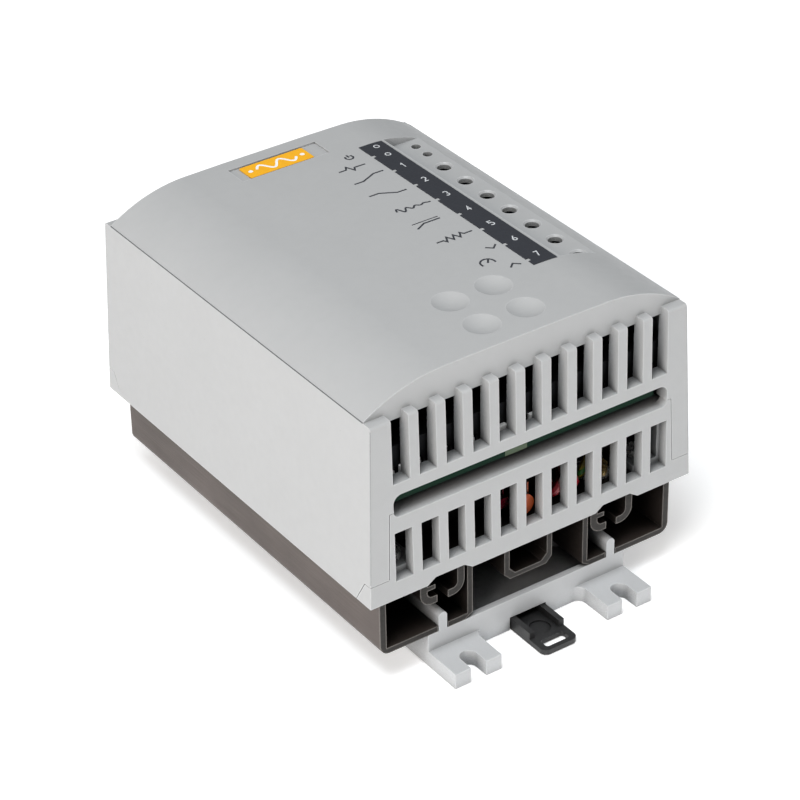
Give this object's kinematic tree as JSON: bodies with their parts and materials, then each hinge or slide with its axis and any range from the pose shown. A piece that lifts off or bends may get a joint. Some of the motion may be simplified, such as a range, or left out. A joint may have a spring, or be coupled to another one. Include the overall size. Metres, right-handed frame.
{
  "type": "variable speed motor drive",
  "caption": "Rail or panel mounted motor speed drive: crowned grey cover with slotted wiring ends, extruded heatsink and a clip-on rail carrier with a sprung latch.",
  "frame": {"origin": "centre of the rail channel, in the mounting plane under the carrier", "axes": "+Z out of the panel, X along the mounting rail, -Y towards the end with the pull tab of the rail latch"},
  "size_m": [0.105, 0.1535, 0.0907],
  "materials": {
    "enclosure_plastic": "fine spark-eroded moulding texture, light grey",
    "carrier_plastic": "smooth light grey moulding",
    "latch_plastic": "black glass-filled nylon",
    "label_vinyl": "orange-yellow printed vinyl",
    "strip_print": "dark slate printed legend film",
    "anodised_aluminium": "black anodised extrusion with paler sawn ends",
    "zinc_steel": "zinc plated",
    "spring_steel": "drawn wire",
    "brass": "turned brass",
    "circuit_board": "green solder mask over glass-fibre laminate",
    "block_plastic": "dark grey terminal moulding",
    "module_plastic": "black epoxy power-module case",
    "pad_silicone": "grey-white thermal pad",
    "trimmer_blue": "blue trimmer case",
    "rotor_white": "off-white slotted rotor",
    "indicator_green": "tinted epoxy lens",
    "indicator_red": "tinted epoxy lens",
    "coil_former": "taped winding and laminations",
    "capacitor_sleeve": "dark sleeved can",
    "fuse_glass": "glass tube",
    "red_insulation": "red insulated lead",
    "earth_insulation": "green and yellow insulated lead",
    "orange_epoxy": "orange-red epoxy-dipped disc",
    "red_film": "red boxed film capacitor"
  },
  "bodies": {
    "drive": {"top_cover": "enclosure_plastic", "base_housing": "enclosure_plastic", "rail_carrier": "carrier_plastic", "front_label": "label_vinyl", "legend_strip": "strip_print", "heatsink": "anodised_aluminium", "carrier_screws": "zinc_steel", "housing_screws": "zinc_steel", "module_screws": "zinc_steel", "board_screws": "zinc_steel", "spacer_nuts": "zinc_steel", "spacer_screws": "zinc_steel", "front_wire_clamps": "zinc_steel", "front_clamp_screws": "zinc_steel", "rear_wire_clamps": "zinc_steel", "rear_clamp_screws": "zinc_steel", "earth_terminal": "zinc_steel", "latch_spring": "spring_steel", "board_spacers": "brass", "earth_screw": "brass", "fuse_clips": "brass", "power_board": "circuit_board", "control_board": "circuit_board", "front_terminal_block": "block_plastic", "rear_terminal_block": "block_plastic", "board_link": "block_plastic", "power_module_left": "module_plastic", "power_module_right": "module_plastic", "controller_chip": "module_plastic", "thermal_pad_left": "pad_silicone", "thermal_pad_right": "pad_silicone", "trimmer_body_1": "trimmer_blue", "trimmer_body_2": "trimmer_blue", "trimmer_body_3": "trimmer_blue", "trimmer_body_4": "trimmer_blue", "trimmer_body_5": "trimmer_blue", "trimmer_body_6": "trimmer_blue", "trimmer_body_7": "trimmer_blue", "power_indicator": "indicator_green", "limit_indicator": "indicator_red", "supply_transformer": "coil_former", "capacitor_left": "capacitor_sleeve", "capacitor_right": "capacitor_sleeve", "fuse": "fuse_glass", "armature_lead": "red_insulation", "earth_lead": "earth_insulation", "surge_absorber": "orange_epoxy", "snubber_capacitor": "red_film"},
    "latch": {"rail_latch": "latch_plastic"},
    "rotor_1": {"trimmer_rotor_1": "rotor_white"},
    "rotor_2": {"trimmer_rotor_2": "rotor_white"},
    "rotor_3": {"trimmer_rotor_3": "rotor_white"},
    "rotor_4": {"trimmer_rotor_4": "rotor_white"},
    "rotor_5": {"trimmer_rotor_5": "rotor_white"},
    "rotor_6": {"trimmer_rotor_6": "rotor_white"},
    "rotor_7": {"trimmer_rotor_7": "rotor_white"}
  },
  "joints": [
    {"name": "latch_slide", "type": "slide", "parent": "drive", "child": "latch", "axis": [0, -1, 0], "range_m": [0, 0.0035], "stiffness_N_per_m": 900, "springref_m": -0.002, "deforming": ["latch_spring"]},
    {"name": "trimmer_1_turn", "type": "hinge", "parent": "drive", "child": "rotor_1", "pos_m": [0.03925, 0.0289, 0.0835], "axis": [0, 0, 1], "range_deg": [-135, 135]},
    {"name": "trimmer_2_turn", "type": "hinge", "parent": "drive", "child": "rotor_2", "pos_m": [0.03925, 0.01862, 0.0835], "axis": [0, 0, 1], "range_deg": [-135, 135]},
    {"name": "trimmer_3_turn", "type": "hinge", "parent": "drive", "child": "rotor_3", "pos_m": [0.03925, 0.00834, 0.0835], "axis": [0, 0, 1], "range_deg": [-135, 135]},
    {"name": "trimmer_4_turn", "type": "hinge", "parent": "drive", "child": "rotor_4", "pos_m": [0.03925, -0.00194, 0.0835], "axis": [0, 0, 1], "range_deg": [-135, 135]},
    {"name": "trimmer_5_turn", "type": "hinge", "parent": "drive", "child": "rotor_5", "pos_m": [0.03925, -0.01222, 0.0835], "axis": [0, 0, 1], "range_deg": [-135, 135]},
    {"name": "trimmer_6_turn", "type": "hinge", "parent": "drive", "child": "rotor_6", "pos_m": [0.03925, -0.0225, 0.0835], "axis": [0, 0, 1], "range_deg": [-135, 135]},
    {"name": "trimmer_7_turn", "type": "hinge", "parent": "drive", "child": "rotor_7", "pos_m": [0.03925, -0.03278, 0.0835], "axis": [0, 0, 1], "range_deg": [-135, 135]}
  ]
}
